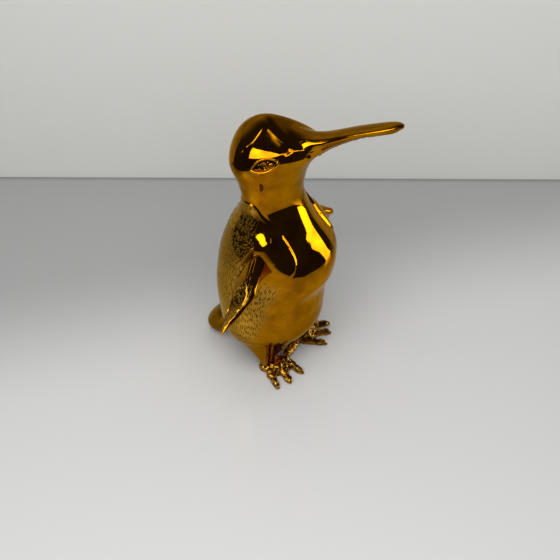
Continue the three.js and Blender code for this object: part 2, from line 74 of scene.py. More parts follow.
def along(rows, t):
    """Numbers at places t on a smooth curve through the rows: the cubic between two rows whose slope at
    each is half the difference of its neighbours. The first and last rows only give the ends' slopes."""
    i = np.clip(np.floor(t).astype(int), 0, len(rows) - 4)
    u = (t - i)[..., None]
    before, start, end, after = rows[i], rows[i + 1], rows[i + 2], rows[i + 3]
    leave = (end - before) / 2
    arrive = (after - start) / 2
    cubic = 2 * start - 2 * end + leave + arrive
    square = -3 * start + 3 * end - 2 * leave - arrive
    return ((cubic * u + square) * u + leave) * u + start


def turned_over(row):
    """The row beyond a closed end: its neighbour with back and front exchanged and the width negative."""
    back_x, back_z, front_x, front_z, half, fuller = row
    return [front_x, front_z, back_x, back_z, -half, fuller]


FULL_LINE = np.vstack([turned_over(LINE[1]), LINE, turned_over(LINE[-2])])


def bird(t, a):
    """Outer surface at station t and angle a from the front: the section's middle, plus its forward half
    times cos a, plus its half width times sin a times (1 + fuller cos a) sideways."""
    back_x, back_z, front_x, front_z, half, fuller = np.moveaxis(along(FULL_LINE, t), -1, 0)
    swing = (1 + np.cos(a)) / 2
    x = back_x + (front_x - back_x) * swing
    z = back_z + (front_z - back_z) * swing
    return np.stack([x, half * np.sin(a) * (1 + fuller * np.cos(a)), z], -1)


def outward(t, a):
    """Unit normal: the cross product of the steps along and round the surface."""
    step = 0.002
    inside = np.clip(t, 2 * step, BILL_TIP - 2 * step)
    ahead = bird(inside + step, a) - bird(inside - step, a)
    round_it = bird(inside, a + step) - bird(inside, a - step)
    normal = np.cross(round_it, ahead)
    return normal / np.maximum(np.linalg.norm(normal, axis=-1, keepdims=True), 1e-12)


def smooth(low, high, value):
    """0 up to low, 1 from high on, and 3s^2 - 2s^3 between. It falls where low is the larger."""
    s = np.clip((value - low) / (high - low), 0, 1)
    return s * s * (3 - 2 * s)


def hump(distance, reach):
    """1 at distance 0, falling as exp(-(distance / reach)^2)."""
    return np.exp(-((distance / reach) ** 2))


def ripple(points, wave, seed):
    """Uneven surface, about -1 to 1: the sum of 16 plane waves of about one length, in seeded directions."""
    chance = np.random.default_rng(seed)
    ways = chance.normal(size=(3, 16))
    ways /= np.linalg.norm(ways, axis=0)
    lengths = wave * chance.uniform(0.6, 1.6, 16)
    turns = points @ (ways / lengths) + chance.uniform(0, 1, 16)
    return np.sin(2 * np.pi * turns).sum(-1) / 5


# The mantle is the upper edge of the feathered back. It runs from the nape round the neck and down the
# breast as a raised fold, and fades on the flank into the edge of the chased strokes.
MANTLE = np.array([
    # station, degrees from the front, height of the fold in mm, softness of the strokes' edge in mm
    (8.14, 180, 0.3, 0.8),
    (8.2, 150, 0.35, 0.8),
    (8.32, 118, 0.4, 0.7),
    (8.3, 92, 0.45, 0.5),
    (7.85, 75, 0.5, 0.5),
    (7.6, 63, 0.5, 0.5),
    (7.25, 50, 0.5, 0.5),
    (6.9, 43, 0.5, 0.6),
    (6.42, 41, 0.5, 0.8),
    (6.1, 46, 0.4, 1.2),
    (5.8, 54, 0.2, 2),
    (5.2, 59, 0, 2),
    (4.2, 62, 0, 2.5),
    (3.3, 64, 0, 3),
    (2.5, 73, 0, 3),
    (1.9, 92, 0, 3),
])


def mantle_line():
    """The mantle's line as points, directions along it, heights and softness."""
    rows = np.vstack([2 * MANTLE[0] - MANTLE[1], MANTLE, 2 * MANTLE[-1] - MANTLE[-2]])
    line = along(rows, np.linspace(0, len(MANTLE) - 1, 150))
    points = bird(line[:, 0], np.radians(line[:, 1]))
    ways = np.gradient(points, axis=0)
    ways /= np.linalg.norm(ways, axis=1, keepdims=True)
    return points, ways, line[:, 2], line[:, 3]


def on_left(a):
    """The same angle from the front on the left side, 0 to pi, because both sides are alike."""
    return np.pi - np.abs(np.pi - a % (2 * np.pi))


def behind_mantle(t, a):
    """Distance of a place behind the mantle's line in mm, negative before it, with the fold's height and the
    softness there: the offset from the nearest point of the line, square to the line on the surface."""
    points, ways, heights, softness = mantle_line()
    left = on_left(a)
    place = bird(t, left)
    flat = place.reshape(-1, 3)
    near = ((points**2).sum(1) - 2 * flat @ points.T).argmin(1)
    across = np.cross(outward(t, left).reshape(-1, 3), ways[near])
    offset = ((flat - points[near]) * across).sum(1)
    past = np.abs(((flat - points[near]) * ways[near]).sum(1))
    fade = 1 - smooth(2, 8, past)
    shape = place.shape[:-1]
    return offset.reshape(shape), (heights[near] * fade).reshape(shape), softness[near].reshape(shape)


def fold(t, a):
    """Height of the mantle's fold: a step up behind the line that sinks back over 14 mm, with a fine bead
    along its edge and a shallow groove before it."""
    offset, height, _ = behind_mantle(t, a)
    step = smooth(-0.35, 0.35, offset) * hump(np.maximum(offset, 0), 7)
    bead = 0.5 * hump(offset - 0.15, 0.4)
    groove = 0.35 * hump(offset + 0.8, 0.8)
    return height * (step + bead - groove)


def feathered(t, a):
    """1 where the feather strokes are chased, 0 where the casting is smooth: before the mantle, and on the
    shoulder before the wing."""
    offset, _, softness = behind_mantle(t, a)
    before_wing = smooth(5.2, 5.8, t) * (1 - smooth(78, 90, np.degrees(on_left(a))))
    return smooth(-softness, 2 * softness, offset) * (1 - before_wing)


def unrolled(t, a):
    """Place on the surface in mm for the strokes: round from the middle of the back, and up along the
    side."""
    half = np.maximum(along(FULL_LINE, t)[..., 4], 1)
    places = np.linspace(0, NECK + 2, 200)
    side = bird(places, np.full_like(places, np.pi / 2))
    rise = np.concatenate([[0], np.cumsum(np.linalg.norm(np.diff(side, axis=0), axis=1))])
    return np.stack([(a - np.pi) * half, np.interp(t, places, rise)], -1)


SHOULDER_START = np.array([-6.4, 90])  # x and z of the step's upper edge
SHOULDER_WAY = np.array([0.67, -0.74])  # forwards and down
SHOULDER_RISE = 3.5
SHOULDER_STEP = 8
SHOULDER_ROUND = 0.15  # share of the step that is rounded at its ends
SHOULDER_SINK = 25
SHOULDER_REACH = 6.2


def shoulder(points):
    """Height of the shoulder over the root of each wing: a step that climbs evenly forwards and down from
    its upper edge over 8 mm, rounded off at both ends, and sinks again over 25 mm."""
    place = points[..., [0, 2]] - SHOULDER_START
    down_it = place @ SHOULDER_WAY
    across_it = place @ np.array([-SHOULDER_WAY[1], SHOULDER_WAY[0]])
    share = down_it / SHOULDER_STEP
    climb = (np.hypot(share, SHOULDER_ROUND) - np.hypot(share - 1, SHOULDER_ROUND) + 1) / 2
    sink = hump(np.maximum(down_it - SHOULDER_STEP, 0), SHOULDER_SINK)
    outside = smooth(12, 20, np.abs(points[..., 1]))
    return SHOULDER_RISE * climb * sink * hump(across_it, SHOULDER_REACH) * outside


UNEVEN_RISE = 0.03
UNEVEN_WAVE = 17


def uneven(points):
    """Slight unevenness that the polisher leaves: a ripple 0.03 mm high in waves of about 17 mm."""
    return UNEVEN_RISE * ripple(points, UNEVEN_WAVE, seed=3)


def torso(t, a):
    """The bird's surface with the fold, the shoulders and the unevenness on it."""
    points = bird(t, a)
    height = fold(t, a) + shoulder(points) + uneven(points)
    return points + outward(t, a) * height[..., None]


ANKLE = np.array([-4, 18.6, 5])
ANKLE_RADIUS = 3.6
ANKLE_SLOPE = 0.33
PATCH_STATION, PATCH_REACH = 1.3, 0.7
PATCH_ROUND, PATCH_SPREAD = np.radians(73), np.radians(47)
THIGH_REACH = 7
SHIN_REACH = 9
LEG_SUNK = 0.04  # its edge lies this far under the belly's surface


def patch(share, a):
    """Station and angle on the belly at a share of the way from the middle of the leg's patch to its edge."""
    return PATCH_STATION + share * PATCH_REACH * np.sin(a), PATCH_ROUND - share * PATCH_SPREAD * np.cos(a)


def leg(s, a, side):
    """One leg from the edge of its patch (s = 0) to the ankle (s = 1): each line leaves along the belly
    towards the middle of the patch, and a cubic carries it down to the round ankle."""
    step = 0.05
    hip = torso(*patch(1, a)) - LEG_SUNK * outward(*patch(1, a))
    inwards = bird(*patch(1 - step, a)) - bird(*patch(1 + step, a))
    inwards /= np.linalg.norm(inwards, axis=-1, keepdims=True)
    forward = ANKLE_RADIUS * np.cos(a)
    ankle = np.stack([
        ANKLE[0] + forward,
        ANKLE[1] + ANKLE_RADIUS * np.sin(a),
        ANKLE[2] + ANKLE_SLOPE * forward,
    ], -1)
    s = s[..., None]
    points = hip * (1 + 2 * s) * (1 - s) ** 2 + inwards * THIGH_REACH * s * (1 - s) ** 2
    points += ankle * s**2 * (3 - 2 * s) + np.array([0, 0, -SHIN_REACH]) * s**2 * (s - 1)
    return points * [1, side, 1]


def to_middle(ring):
    """A ring drawn together on its own middle, which closes the end of a surface."""
    return np.broadcast_to(ring.mean(0), ring.shape)


def full_turn(count):
    """Even angles all the way round, without the last, which would be the first again."""
    return np.linspace(0, 2 * np.pi, count, endpoint=False)


def spread(low, high, count):
    """Even places from low to high, with three more close to the neck joint, so its shading is true."""
    near = NECK + np.sign((low + high) / 2 - NECK) * np.array([0.002, 0.006, 0.015])
    return np.unique(np.concatenate([np.linspace(low, high, count), near]))


def add_object(name, data):
    """An object in the scene that holds a mesh, a light or a camera."""
    holder = bpy.data.objects.new(name, data)
    bpy.context.scene.collection.objects.link(holder)
    return holder


STROKE_UNIT = 100  # mm of the surface in one unit of the strokes' map
SAME_POINT = 0.002
SHARP_ANGLE = np.radians(50)


def casting(name, sheets):
    """A mesh object from sheets of points in mm, each (points, place for the strokes, feathered, painted
    shade).
    A sheet's rows are closed rings. Equal points are shared, and the faces are turned outwards."""
    corners, faces, strokes, chased, painted_shades = [], [], [], [], []
    count = 0
    for points, place, mask, sheet_shade in sheets:
        rows, cols = points.shape[:2]
        i = np.arange(rows - 1)[:, None]
        j = np.arange(cols)[None, :]
        low = i * cols + j
        high = i * cols + (j + 1) % cols
        faces.append(np.stack([low, high, high + cols, low + cols], -1).reshape(-1, 4) + count)
        corners.append(points.reshape(-1, 3))
        strokes.append(np.broadcast_to(0.0 if place is None else place, (rows, cols, 2)).reshape(-1, 2))
        chased.append(np.broadcast_to(mask, (rows, cols)).ravel())
        painted_shades.append(np.broadcast_to(sheet_shade, (rows, cols)).ravel())
        count += rows * cols
    corners = np.concatenate(corners)
    corners = (corners - [MIDDLE_X, 0, 0]) * MM
    faces = np.concatenate(faces)
    one, two, three, four = (corners[faces[:, k]] for k in range(4))
    # A surface turned inside out has a negative volume.
    if (np.cross(three - one, four - two) * (one + three)).sum() < 0:
        faces = faces[:, ::-1]
    mesh = bpy.data.meshes.new(name)
    mesh.from_pydata(corners.tolist(), [], faces.tolist())
    mesh.attributes.new("chased", "FLOAT", "POINT").data.foreach_set("value", np.concatenate(chased))
    mesh.attributes.new("painted_shade", "FLOAT", "POINT").data.foreach_set("value", np.concatenate(painted_shades))
    if sheets[0][1] is not None:
        mesh.uv_layers.new(name="strokes").data.foreach_set(
            "uv", (np.concatenate(strokes)[faces.ravel()] / STROKE_UNIT).ravel()
        )
    welded = bmesh.new()
    welded.from_mesh(mesh)
    bmesh.ops.remove_doubles(welded, verts=welded.verts, dist=SAME_POINT * MM)
    welded.to_mesh(mesh)
    welded.free()
    mesh.shade_smooth()
    mesh.set_sharp_from_angle(angle=SHARP_ANGLE)
    return add_object(name, mesh)


def colour(code):
    """An sRGB hex colour as linear red, green, blue and alpha."""
    value = np.array([int(code[k : k + 2], 16) for k in (1, 3, 5)]) / 255
    linear = np.where(value <= 0.04045, value / 12.92, ((value + 0.055) / 1.055) ** 2.4)
    return (*linear.tolist(), 1.0)


def add(material, kind, sockets=None, **settings):
    """One node with its settings, and its sockets set to values or linked to other nodes' outputs."""
    node = material.node_tree.nodes.new(kind)
    for name, value in settings.items():
        setattr(node, name, value)
    for name, value in (sockets or {}).items():
        if isinstance(value, bpy.types.NodeSocket):
            material.node_tree.links.new(value, node.inputs[name])
        else:
            node.inputs[name].default_value = value
    return node


def new_material(name):
    """A material with its nodes, and its main shader."""
    material = bpy.data.materials.new(name)
    material.use_nodes = True
    return material, material.node_tree.nodes["Principled BSDF"]


LACQUERED_AMBER = "#AE7203"
LACQUERED_DEEP = "#8A5304"
LACQUER_RIM = "#FFE8BC"
RUBBED_TAN = "#B08A34"
# This dark is real tarnish in the chased strokes and grime on the engraved eyes, and also the colour of
# painted shade.
TARNISH_AND_SHADE = "#2A1603"

STROKE_CELL = (1.05, 4.2)  # mm across and along, one stroke in each
COMB_CELL = (0.8, 12)
STROKE_WANDER = 50 / 7  # mm between the bends in their rows


def per_unit(cell):
    """Scale of a pattern on the strokes' map, from the size of its cell in mm."""
    return (STROKE_UNIT / cell[0], STROKE_UNIT / cell[1], 1)


# Yellow brass, chased with a blunt punch in short strokes, then buffed and dipped in amber lacquer. It
# mirrors paler at a glancing angle. Each stroke is about 0.6 mm wide and 2.5 mm long, with dark tarnish left
# in it, and fine comb lines run between the strokes.
chased_brass, shader = new_material("chased_lacquered_brass")
place = add(chased_brass, "ShaderNodeUVMap", uv_map="strokes")
mask = add(chased_brass, "ShaderNodeAttribute", attribute_name="chased")
wander = add(
    chased_brass,
    "ShaderNodeTexNoise",
    {"Vector": place.outputs["UV"], "Scale": STROKE_UNIT / STROKE_WANDER, "Detail": 1},
)
bend = add(
    chased_brass,
    "ShaderNodeMixRGB",
    {"Fac": 0.002, "Color1": place.outputs["UV"], "Color2": wander.outputs["Color"]},
    blend_type="LINEAR_LIGHT",
)
cells = add(
    chased_brass,
    "ShaderNodeMapping",
    {"Vector": bend.outputs["Color"], "Scale": per_unit(STROKE_CELL)},
)
strokes = add(
    chased_brass,
    "ShaderNodeTexVoronoi",
    {"Vector": cells.outputs["Vector"], "Scale": 1, "Randomness": 0.75},
    voronoi_dimensions="2D",
)
cut = add(
    chased_brass,
    "ShaderNodeMapRange",
    {"Value": strokes.outputs["Distance"], "From Min": 0.36, "From Max": 0.15},
    interpolation_type="SMOOTHSTEP",
)
comb = add(
    chased_brass,
    "ShaderNodeMapping",
    {"Vector": bend.outputs["Color"], "Scale": per_unit(COMB_CELL)},
)
combed = add(chased_brass, "ShaderNodeTexNoise", {"Vector": comb.outputs["Vector"], "Scale": 1, "Detail": 2})
depth = add(
    chased_brass,
    "ShaderNodeMath",
    {0: combed.outputs["Fac"], 1: 0.25, 2: cut.outputs["Result"]},
    operation="MULTIPLY_ADD",
)
masked = add(
    chased_brass,
    "ShaderNodeMath",
    {0: depth.outputs["Value"], 1: mask.outputs["Fac"]},
    operation="MULTIPLY",
)
bump = add(
    chased_brass,
    "ShaderNodeBump",
    {"Height": masked.outputs["Value"], "Strength": 0.9, "Distance": 0.22 * MM},
    invert=True,
)
where = add(chased_brass, "ShaderNodeTexCoord")
cloud = add(
    chased_brass,
    "ShaderNodeTexNoise",
    {"Vector": where.outputs["Object"], "Scale": 1 / (13 * MM), "Detail": 4, "Roughness": 0.6},
)
thick = add(
    chased_brass,
    "ShaderNodeMapRange",
    {"Value": cloud.outputs["Fac"], "From Min": 0.4, "From Max": 0.64},
)
amber = add(
    chased_brass,
    "ShaderNodeMixRGB",
    {"Fac": thick.outputs["Result"], "Color1": colour(LACQUERED_AMBER), "Color2": colour(LACQUERED_DEEP)},
)
rubbed = add(
    chased_brass,
    "ShaderNodeMath",
    {0: mask.outputs["Fac"], 1: 0.55},
    operation="MULTIPLY",
)
tint = add(
    chased_brass,
    "ShaderNodeMixRGB",
    {"Fac": rubbed.outputs["Value"], "Color1": amber.outputs["Color"], "Color2": colour(RUBBED_TAN)},
)
in_strokes = add(
    chased_brass,
    "ShaderNodeMath",
    {0: cut.outputs["Result"], 1: mask.outputs["Fac"]},
    operation="MULTIPLY",
)
stain = add(
    chased_brass,
    "ShaderNodeMath",
    {0: in_strokes.outputs["Value"], 1: 0.85},
    operation="MULTIPLY",
)
stained = add(
    chased_brass,
    "ShaderNodeMixRGB",
    {"Fac": stain.outputs["Value"], "Color1": tint.outputs["Color"], "Color2": colour(TARNISH_AND_SHADE)},
)
# Painted shade: each casting's shade attribute darkens its colour towards the dark tarnish colour between the
# legs, low on the body, under the bill, under the wings' lips and over the tail.
painted_shade = add(chased_brass, "ShaderNodeAttribute", attribute_name="painted_shade")
shaded_tint = add(
    chased_brass,
    "ShaderNodeMixRGB",
    {"Fac": painted_shade.outputs["Fac"], "Color1": stained.outputs["Color"], "Color2": colour(TARNISH_AND_SHADE)},
)
worn = add(
    chased_brass,
    "ShaderNodeMapRange",
    {"Value": masked.outputs["Value"], "To Min": 0.045, "To Max": 0.12},
)
chased_brass.node_tree.links.new(shaded_tint.outputs["Color"], shader.inputs["Base Color"])
chased_brass.node_tree.links.new(worn.outputs["Result"], shader.inputs["Roughness"])
chased_brass.node_tree.links.new(bump.outputs["Normal"], shader.inputs["Normal"])
shader.inputs["Metallic"].default_value = 1
shader.inputs["Specular Tint"].default_value = colour(LACQUER_RIM)


def painted_low_shade(points):
    """Painted shade: darkest between the legs, and a little all over below 40 mm."""
    height = points[..., 2] + 2 * ripple(points, 9, seed=5)
    between_legs = 0.75 * (1 - smooth(16, 25, height)) * hump(points[..., 1], 14)
    low = 0.28 * (1 - smooth(18, 40, height))
    return np.maximum(between_legs * smooth(-14, -2, points[..., 0]), low)


BODY_RINGS, BODY_FACETS = 256, 288
LEG_RINGS, LEG_FACETS = 72, 140
NECK_DISC = 3  # depth of the closed end in the neck joint

t, a = np.meshgrid(spread(0.02, NECK, BODY_RINGS), full_turn(BODY_FACETS), indexing="ij")
trunk = torso(t, a)
trunk = np.concatenate([to_middle(trunk[0])[None], trunk, (to_middle(trunk[-1]) - [0, 0, NECK_DISC])[None]])
t = np.vstack([t[:1], t, t[-1:]])
a = np.vstack([a[:1], a, a[-1:]])
body_sheets = [(trunk, unrolled(t, a), feathered(t, a), painted_low_shade(trunk))]
s, a = np.meshgrid(np.linspace(0, 1, LEG_RINGS), full_turn(LEG_FACETS), indexing="ij")
for side in (1, -1):
    limb = leg(s, a, side)
    limb = np.concatenate([limb, to_middle(limb[-1])[None]])
    reach = np.vstack([s, s[-1:]])
    station, round_it = patch(1 - reach, np.vstack([a, a[-1:]]))
    leg_mask = feathered(station, round_it) * (1 - smooth(0.1, 0.6, reach))
    body_sheets.append((limb, unrolled(station, round_it) * [side, 1], leg_mask, painted_low_shade(limb)))
body_casting = casting("body_casting", body_sheets)
body_casting.data.materials.append(chased_brass)
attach(body_casting, "root")
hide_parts("body_shell")

# Head casting
# Neck, head and bill are one hollow casting, polished to a mirror. A fine groove runs along each side of the
# bill where the jaws meet, and ends behind over a small round pit. The chased back reaches up its nape, so it
# has the body's material.

HEAD_RINGS, HEAD_FACETS = 360, 256
MOUTH = np.array([
    # station, degrees from the front
    (12.2, 50),
    (13, 57),
    (14, 74),
    (15, 82),
    (16, 82),
    (17.2, 78),
])
MOUTH_DEPTH = 0.16
MOUTH_REACH = 0.35
PIT = (12.16, 38.5)
PIT_RADIUS = 1.2
PIT_DEPTH = 0.9
PIT_RIM = 0.18


def mouth_line(t, a):
    """Height of the line where the jaws meet: a groove 0.16 mm deep along given angles."""
    middle = np.radians(np.interp(t, MOUTH[:, 0], MOUTH[:, 1]))
    half = np.maximum(along(FULL_LINE, t)[..., 4], 1)
    off = (on_left(a) - middle) * half
    ends = smooth(12.2, 12.8, t) * (1 - smooth(16.2, 17.2, t))
    return -MOUTH_DEPTH * ends * hump(off, MOUTH_REACH)


def mouth_pit(t, a):
    """Height of the pit: a round dimple with a low rim."""
    centre = bird(np.array(PIT[0]), np.radians(PIT[1]))
    away = np.linalg.norm(bird(t, on_left(a)) - centre, axis=-1)
    return -PIT_DEPTH * hump(away, 0.8 * PIT_RADIUS) + PIT_RIM * hump(away - 1.3 * PIT_RADIUS, 0.5)


def head(t, a):
    """The bird's surface with the fold, the mouth's lines and pits, and the unevenness, less on the bill."""
    points = bird(t, a)
    calm = 1 - smooth(12, 14, t)
    height = fold(t, a) + mouth_line(t, a) + mouth_pit(t, a) + uneven(points) * calm
    return points + outward(t, a) * height[..., None]


def bill_underside_shade(t, a):
    """Painted shade on the lower half of the bill, from its root on."""
    return 0.5 * smooth(13.4, 14.4, t) * smooth(-0.15, 0.15, np.cos(a))


t, a = np.meshgrid(spread(NECK, BILL_TIP, HEAD_RINGS), full_turn(HEAD_FACETS), indexing="ij")
skull = head(t, a)
skull = np.concatenate([(to_middle(skull[0]) + [0, 0, NECK_DISC])[None], skull])
t = np.vstack([t[:1], t])
a = np.vstack([a[:1], a])
head_casting = casting("head_casting", [(skull, unrolled(t, a), feathered(t, a), bill_underside_shade(t, a))])
head_casting.data.materials.append(chased_brass)
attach(head_casting, "root")
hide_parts("head_shell")

# Eyes
# Each eye is a domed almond of brass, set in the head inside a raised almond lid. The engraver cut a ring for
# the iris, a sunk pupil and radial lines into it. The lids are cast with the head and polished like it.

EYE_STATION = 10.68
EYE_ROUND = np.radians(77)
EYE_TILT = np.radians(28)
EYE_LENGTH = 13.4
EYE_HEIGHT = 5
EYE_FACETS = 160
EYE_RINGS = 48
EYE_DOME = 0.95  # height of its middle over its edge
EYE_SUNK = 0.5  # depth of its edge under the head's surface
IRIS_RADIUS = 1.9
PUPIL_RADIUS = 0.8
RADIAL_CUTS = 9
LID_RADIUS = 0.75
LID_FACETS = 20
LID_HEAVIER = 0.25  # share by which it is thicker over the eye
SIDES = ((1, "left"), (-1, "right"))


def eye_axes():
    """Middle of the left eye, with unit directions along it, across it and outwards."""
    out = outward(np.array(EYE_STATION), np.array(EYE_ROUND))
    level = np.array([np.cos(EYE_TILT), 0, np.sin(EYE_TILT)])
    length = level - out * (level @ out)
    length /= np.linalg.norm(length)
    return bird(np.array(EYE_STATION), np.array(EYE_ROUND)), length, np.cross(out, length), out


def almond(length, height, turn):
    """Outline of two equal arcs at a turn from 0 to 2 pi: each arc bulges half the height over the length."""
    radius = (length**2 + height**2) / (4 * height)
    x = length / 2 * np.cos(turn)
    return x, np.sign(np.sin(turn)) * (np.sqrt(radius**2 - x**2) - radius + height / 2)


def fall_at(x, y):
    """Height of the head over the eye's own plane at a place in it, negative where it falls away: eight
    steps of Newton's rule find the station and the angle."""
    middle, length, across, out = eye_axes()
    t = np.full_like(x, EYE_STATION)
    a = np.full_like(x, EYE_ROUND)
    step = 1e-3
    for _ in range(8):
        here = bird(t, a) - middle
        by_t = (bird(t + step, a) - middle - here) / step
        by_a = (bird(t, a + step) - middle - here) / step
        grid = np.stack([
            np.stack([by_t @ length, by_a @ length], -1),
            np.stack([by_t @ across, by_a @ across], -1),
        ], -2)
        miss = np.stack([x - here @ length, y - here @ across], -1)
        move = np.linalg.solve(grid, miss[..., None])[..., 0]
        t = t + move[..., 0]
        a = a + move[..., 1]
    return (bird(t, a) - middle) @ out


def in_eye(x, y, z, side):
    """Points from places along, across and out of one eye."""
    middle, length, across, out = eye_axes()
    points = middle + x[..., None] * length + y[..., None] * across + z[..., None] * out
    return points * [1, side, 1]


def lid_sheet(side):
    """The lid: a round bead carried along an almond on the head's surface, thicker over the eye."""
    turn = full_turn(EYE_FACETS)
    bead = full_turn(LID_FACETS)
    x, y = almond(EYE_LENGTH + 2 * LID_RADIUS, EYE_HEIGHT + 2 * LID_RADIUS, turn)
    away = np.hypot(np.gradient(x), np.gradient(y))
    side_x = np.gradient(y) / away
    side_y = -np.gradient(x) / away
    thick = LID_RADIUS * (1 + LID_HEAVIER * np.sin(turn))
    reach = thick[:, None] * np.cos(bead)
    lift = thick[:, None] * np.sin(bead)
    z = fall_at(x, y)[:, None] + lift
    points = in_eye(x[:, None] + side_x[:, None] * reach, y[:, None] + side_y[:, None] * reach, z, side)
    return np.concatenate([points, points[:1]])


def ball_sheet(side):
    """The eye: a low dome over the almond, with a ring for the iris round a sunk pupil and radial cuts."""
    share = np.linspace(0, 1, EYE_RINGS)[:, None]
    edge_x, edge_y = almond(EYE_LENGTH, EYE_HEIGHT, full_turn(EYE_FACETS))
    x = share * edge_x
    y = share * edge_y
    away = np.hypot(x, y)
    dome = EYE_DOME * (1 - share**2)
    iris = 0.5 * hump(away - IRIS_RADIUS, 0.36) - 0.8 * hump(away, PUPIL_RADIUS)
    cuts = 0.18 * np.sin(RADIAL_CUTS * np.arctan2(y, x)) * hump(away - 3.9, 1.4)
    z = fall_at(x, y) + dome + iris + cuts - EYE_SUNK
    return in_eye(x, y, z, side)


POLISHED_AMBER = "#C28204"

# The same brass, buffed with rouge to a mirror under the amber lacquer. It has faint darker clouds about
# 11 mm wide, where the lacquer is thicker.
polished_brass, shader = new_material("polished_lacquered_brass")
where = add(polished_brass, "ShaderNodeTexCoord")
cloud = add(
    polished_brass,
    "ShaderNodeTexNoise",
    {"Vector": where.outputs["Object"], "Scale": 1 / (11 * MM), "Detail": 4},
)
thick = add(
    polished_brass,
    "ShaderNodeMapRange",
    {"Value": cloud.outputs["Fac"], "From Min": 0.42, "From Max": 0.7},
)
tint = add(
    polished_brass,
    "ShaderNodeMixRGB",
    {"Fac": thick.outputs["Result"], "Color1": colour(POLISHED_AMBER), "Color2": colour(LACQUERED_DEEP)},
)
worn = add(
    polished_brass,
    "ShaderNodeMapRange",
    {"Value": cloud.outputs["Fac"], "From Min": 0.3, "From Max": 0.7, "To Min": 0.05, "To Max": 0.1},
)
polished_brass.node_tree.links.new(tint.outputs["Color"], shader.inputs["Base Color"])
polished_brass.node_tree.links.new(worn.outputs["Result"], shader.inputs["Roughness"])
shader.inputs["Metallic"].default_value = 1

# The same brass after the engraver's cuts. Dark grime is left in them, in patches about 1.6 mm wide.
engraved_brass, shader = new_material("engraved_brass")
where = add(engraved_brass, "ShaderNodeTexCoord")
grime = add(
    engraved_brass,
    "ShaderNodeTexNoise",
    {"Vector": where.outputs["Object"], "Scale": 1 / (1.6 * MM), "Detail": 3},
)
tint = add(
    engraved_brass,
    "ShaderNodeMixRGB",
    {"Fac": grime.outputs["Fac"], "Color1": colour(POLISHED_AMBER), "Color2": colour(TARNISH_AND_SHADE)},
)
engraved_brass.node_tree.links.new(tint.outputs["Color"], shader.inputs["Base Color"])
shader.inputs["Metallic"].default_value = 1
shader.inputs["Roughness"].default_value = 0.1
for side, name in SIDES:
    lid = casting(f"eyelid_{name}", [(lid_sheet(side), None, 0.0, 0.0)])
    lid.data.materials.append(polished_brass)
    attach(lid, "root")
    eye = casting(f"engraved_eye_{name}", [(ball_sheet(side), None, 0.0, 0.0)])
    eye.data.materials.append(engraved_brass)
    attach(eye, "root")
    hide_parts(f"eye_{name}")

# Wings
# Each wing is a solid blade, cast by itself and brazed to the shoulder. Its front edge is a rounded rim, and
# its outer side is chased like the back.

SHOULDER_Y = 23.78
WING_RINGS, WING_FACETS = 240, 192
WING_HALF_WIDTH = 12  # for the strokes on it
WING_ROW = 8  # mm from one row to the next, for the strokes on it
LIP, LIP_SHADE, LIP_FOOT = 0.84, 0.96, 1.06  # places along the wing
LIP_ROW = 10  # mm from one row to the next at the lip
WING = np.array([
    # rear edge x, out, z, front edge x, out, z, thickness
    (-15, -1.8, 71.5, -2, -6.8, 84.5, 9),
    (-13, 5.2, 69, -0.6, -0.3, 80.5, 8.5),
    (-11, 14.2, 67, 1.6, 13.2, 71.5, 6.4),
    (-9.4, 21.2, 63, 3, 20.2, 67.2, 4.6),
    (-9.3, 27.2, 57, 0.8, 27.2, 62.6, 3.4),
    (-9, 32.2, 52.5, -2.6, 34.2, 58.2, 2.2),
    (-7.6, 34.7, 50.5, -4.8, 38.6, 55, 1),
])


def blade(rows, t, a, lift=None):
    """A flat limb: the middle of its two edges, plus half the way between them times cos a, plus half its
    thickness times sin a (or times a lift of its own) across both."""
    full = np.vstack([2 * rows[0] - rows[1], rows, 2 * rows[-1] - rows[-2]])
    step = 0.01
    last = len(rows) - 1

    def centre(place):
        values = along(full, np.clip(place, 0, last))
        return (values[..., :3] + values[..., 3:6]) / 2

    values = along(full, t)
    side = (values[..., 3:6] - values[..., :3]) / 2
    face = np.cross(centre(t + step) - centre(t - step), side)
    face /= np.linalg.norm(face, axis=-1, keepdims=True)
    thick = values[..., 6:7] / 2
    lift = np.sin(a) if lift is None else lift(t, a, 2 * np.linalg.norm(side, axis=-1), thick[..., 0])
    return centre(t) + side * np.cos(a)[..., None] + face * thick * lift[..., None]


def closed_blade(rows, rings, facets, lift=None):
    """A blade with both ends drawn together, and its places and angles."""
    t, a = np.meshgrid(np.linspace(0, len(rows) - 1, rings), full_turn(facets), indexing="ij")
    points = blade(rows, t, a, lift)
    points = np.concatenate([to_middle(points[0])[None], points, to_middle(points[-1])[None]])
    return points, np.vstack([t[:1], t, t[-1:]]), np.vstack([a[:1], a, a[-1:]])


def on_blade(t, a, half_width, row):
    """Place on a blade in mm for the strokes: across from its middle, and down from its root."""
    return np.stack([half_width * np.cos(a), -row * t], -1)


